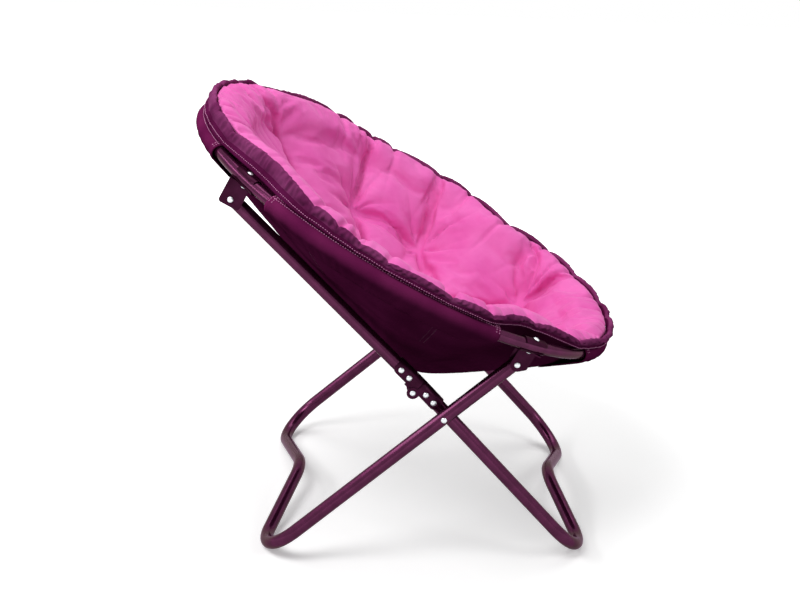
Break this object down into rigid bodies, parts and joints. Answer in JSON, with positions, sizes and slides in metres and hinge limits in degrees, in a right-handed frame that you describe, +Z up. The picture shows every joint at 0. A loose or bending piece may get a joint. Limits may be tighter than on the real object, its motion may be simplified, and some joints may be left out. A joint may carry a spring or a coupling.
{
  "type": "folding saucer chair",
  "caption": "Folding saucer chair: a tilted round tube hoop carries a padded bowl seat in sleeve pockets and stands on crossed U-shaped tube legs with locking knees.",
  "frame": {"origin": "on the floor below the middle of the hoop", "axes": "+X the way the sitter faces, +Y to the sitter's left, +Z up"},
  "size_m": [0.7209, 0.802, 0.7387],
  "materials": {
    "tube_paint": "gloss",
    "bracket_paint": "satin",
    "zinc": "satin",
    "plastic": "matte",
    "cushion_fabric": "matte",
    "shell_fabric": "matte"
  },
  "bodies": {
    "hoop_and_seat": {"binding_rim": "shell_fabric", "hoop_bolt_front_left": "zinc", "hoop_bolt_front_right": "zinc", "hoop_bolt_rear_left": "zinc", "hoop_bolt_rear_right": "zinc", "hoop_bracket_front_left": "bracket_paint", "hoop_bracket_front_right": "bracket_paint", "hoop_bracket_rear_left": "bracket_paint", "hoop_bracket_rear_right": "bracket_paint", "hoop_front_half": "tube_paint", "hoop_joint_screw_front_left": "zinc", "hoop_joint_screw_front_right": "zinc", "hoop_joint_screw_rear_left": "zinc", "hoop_joint_screw_rear_right": "zinc", "hoop_joint_sleeve_left": "zinc", "hoop_joint_sleeve_right": "zinc", "hoop_pocket_front": "shell_fabric", "hoop_pocket_left": "shell_fabric", "hoop_pocket_rear": "shell_fabric", "hoop_pocket_right": "shell_fabric", "hoop_rear_half": "tube_paint", "hoop_saddle_front_left": "bracket_paint", "hoop_saddle_front_right": "bracket_paint", "hoop_saddle_rear_left": "bracket_paint", "hoop_saddle_rear_right": "bracket_paint", "pivot_rivet_front_left": "zinc", "pivot_rivet_front_right": "zinc", "pivot_rivet_rear_left": "zinc", "pivot_rivet_rear_right": "zinc", "seat_cushion": "cushion_fabric", "seat_shell": "shell_fabric"},
    "front_leg_frame": {"front_foot_frame": "tube_paint", "knee_channel_lower_left": "bracket_paint", "knee_channel_lower_right": "bracket_paint", "knee_lower_rivet_1_left": "zinc", "knee_lower_rivet_1_right": "zinc", "knee_lower_rivet_2_left": "zinc", "knee_lower_rivet_2_right": "zinc", "scissor_rivet_tail_left": "zinc", "scissor_rivet_tail_right": "zinc", "scissor_spacer_left": "plastic", "scissor_spacer_right": "plastic"},
    "struts": {"knee_channel_upper_left": "bracket_paint", "knee_channel_upper_right": "bracket_paint", "knee_pivot_rivet_left": "zinc", "knee_pivot_rivet_right": "zinc", "knee_upper_rivet_1_left": "zinc", "knee_upper_rivet_1_right": "zinc", "knee_upper_rivet_2_left": "zinc", "knee_upper_rivet_2_right": "zinc", "strut_end_plug_left": "plastic", "strut_end_plug_right": "plastic", "upper_strut_left": "tube_paint", "upper_strut_right": "tube_paint"},
    "rear_leg_frame": {"leg_end_plug_left": "plastic", "leg_end_plug_right": "plastic", "rear_foot_frame": "tube_paint", "scissor_rivet_left": "zinc", "scissor_rivet_right": "zinc"}
  },
  "joints": [
    {"name": "rear_leg_fold", "type": "hinge", "parent": "hoop_and_seat", "child": "rear_leg_frame", "pos_m": [0.17603, 0, 0.36659], "axis": [0, 1, 0], "range_deg": [0, 66.52], "deforming": ["seat_cushion", "seat_shell"]},
    {"name": "strut_fold", "type": "hinge", "parent": "hoop_and_seat", "child": "struts", "pos_m": [-0.2741, 0, 0.61004], "axis": [0, 1, 0], "range_deg": [-19.32, 0]},
    {"name": "knee_fold", "type": "hinge", "parent": "struts", "child": "front_leg_frame", "pos_m": [0.01519, 0, 0.30182], "axis": [0, 1, 0], "range_deg": [0, 178.26]}
  ],
  "couplings": [
    {"joint": "strut_fold", "follows": "rear_leg_fold", "ratio": -0.29044},
    {"joint": "knee_fold", "follows": "rear_leg_fold", "ratio": 2.6798}
  ]
}
